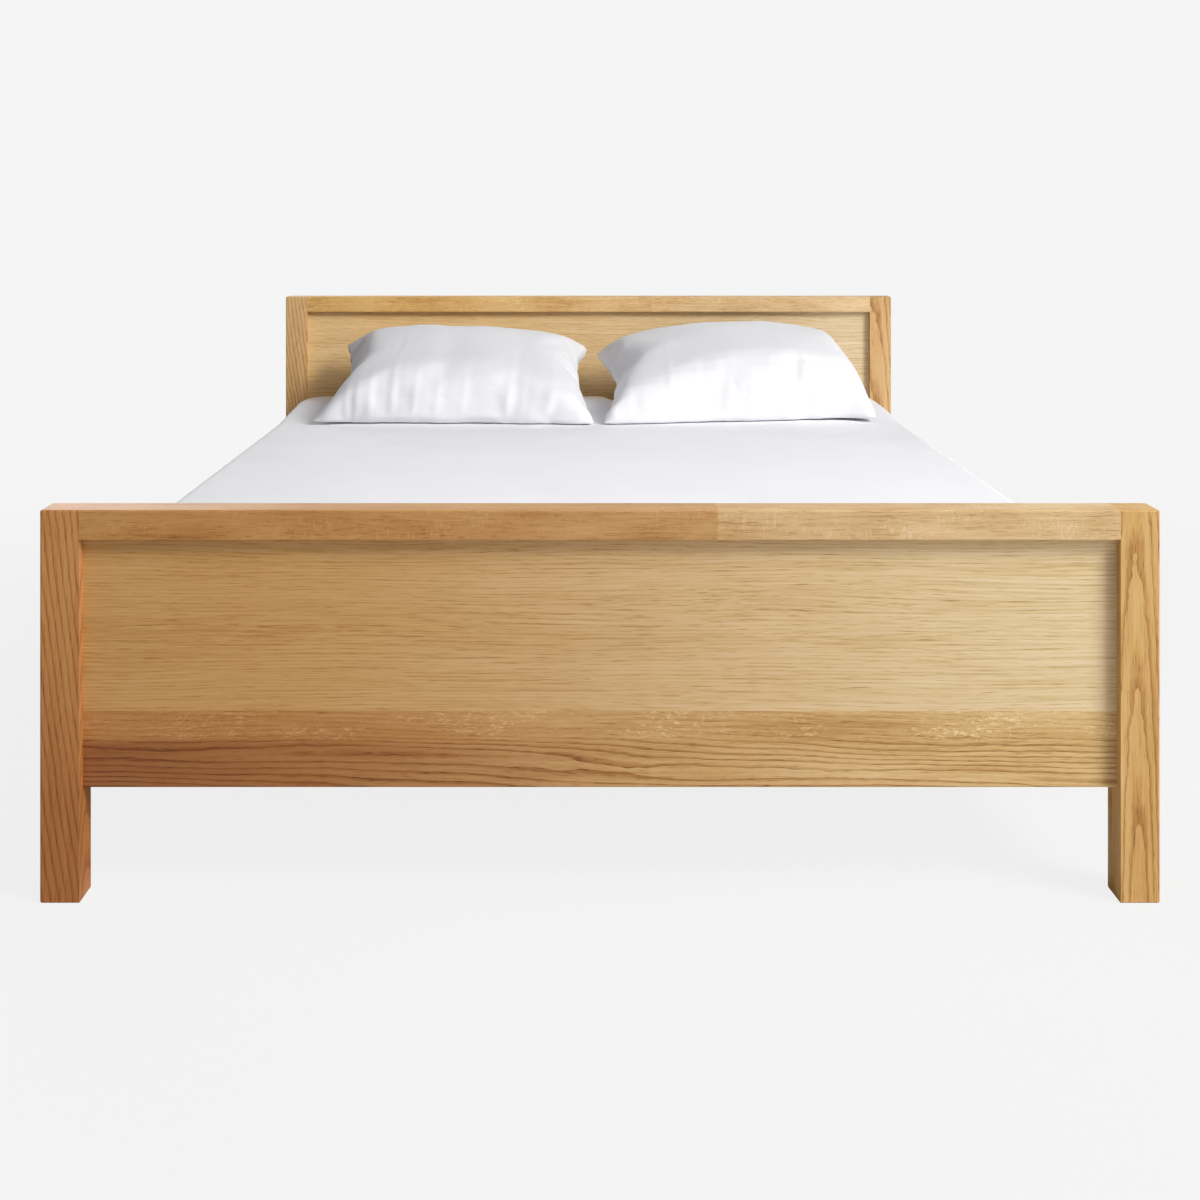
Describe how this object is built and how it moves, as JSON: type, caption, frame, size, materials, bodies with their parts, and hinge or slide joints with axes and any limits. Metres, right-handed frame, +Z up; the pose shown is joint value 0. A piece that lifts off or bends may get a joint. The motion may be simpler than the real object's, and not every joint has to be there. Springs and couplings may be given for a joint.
{
  "type": "panel bed",
  "caption": "Wooden panel bed with recessed headboard and footboard panels, hooked side rails, a slatted base on a centre beam, a mattress with fitted sheet, and pillows.",
  "frame": {"origin": "on the floor, under the middle of the bed", "axes": "+Y from the footboard to the headboard, +Z up, +X to the right for someone looking at the footboard"},
  "size_m": [1.71, 2.14, 0.8],
  "materials": {
    "oak_solid": "satin",
    "oak_panel": "satin",
    "pine_ledge": "matte",
    "pine_slats": "matte",
    "steel_fitting": "satin",
    "steel_screw": "satin",
    "felt_pad": "matte",
    "webbing": "matte",
    "mattress_ticking": "matte",
    "cotton_sheet": "matte",
    "pillow_ticking": "matte",
    "cotton_case": "matte"
  },
  "bodies": {
    "frame": {"footboard_post_left": "oak_solid", "footboard_post_right": "oak_solid", "footboard_top_rail": "oak_solid", "footboard_bottom_rail": "oak_solid", "footboard_panel": "oak_panel", "headboard_post_left": "oak_solid", "headboard_post_right": "oak_solid", "headboard_top_rail": "oak_solid", "headboard_bottom_rail": "oak_solid", "headboard_panel": "oak_panel", "side_rail_left": "oak_solid", "side_rail_right": "oak_solid", "slat_ledge_left": "pine_ledge", "slat_ledge_right": "pine_ledge", "centre_beam": "pine_ledge", "centre_leg": "pine_ledge", "post_slot_plate_foot_left": "steel_fitting", "post_slot_plate_foot_right": "steel_fitting", "post_slot_plate_head_left": "steel_fitting", "post_slot_plate_head_right": "steel_fitting", "rail_hook_plate_foot_left": "steel_fitting", "rail_hook_plate_foot_right": "steel_fitting", "rail_hook_plate_head_left": "steel_fitting", "rail_hook_plate_head_right": "steel_fitting", "beam_shoe_foot": "steel_fitting", "beam_shoe_head": "steel_fitting", "post_plate_screws": "steel_screw", "rail_plate_screws": "steel_screw", "ledge_screws_left": "steel_screw", "ledge_screws_right": "steel_screw", "beam_shoe_screws": "steel_screw", "centre_leg_bolt": "steel_screw", "leg_pad": "felt_pad"},
    "slat_mat": {"slat_01": "pine_slats", "slat_02": "pine_slats", "slat_03": "pine_slats", "slat_04": "pine_slats", "slat_05": "pine_slats", "slat_06": "pine_slats", "slat_07": "pine_slats", "slat_08": "pine_slats", "slat_09": "pine_slats", "slat_10": "pine_slats", "slat_11": "pine_slats", "slat_12": "pine_slats", "slat_13": "pine_slats", "slat_14": "pine_slats", "slat_strap_left": "webbing", "slat_strap_right": "webbing", "strap_staples": "steel_screw"},
    "mattress": {"mattress": "mattress_ticking", "fitted_sheet": "cotton_sheet"},
    "pillow_left": {"pillow_left": "pillow_ticking", "pillowcase_left": "cotton_case"},
    "pillow_right": {"pillow_right": "pillow_ticking", "pillowcase_right": "cotton_case"}
  },
  "joints": [
    {"name": "slat_mat_lift", "type": "slide", "parent": "frame", "child": "slat_mat", "axis": [0, 0, 1], "range_m": [0, 0.35]},
    {"name": "mattress_lift", "type": "slide", "parent": "slat_mat", "child": "mattress", "axis": [0, 0, 1], "range_m": [0, 0.35]},
    {"name": "pillow_left_lift", "type": "slide", "parent": "mattress", "child": "pillow_left", "axis": [0, 0, 1], "range_m": [0, 0.3]},
    {"name": "pillow_right_lift", "type": "slide", "parent": "mattress", "child": "pillow_right", "axis": [0, 0, 1], "range_m": [0, 0.3]}
  ]
}
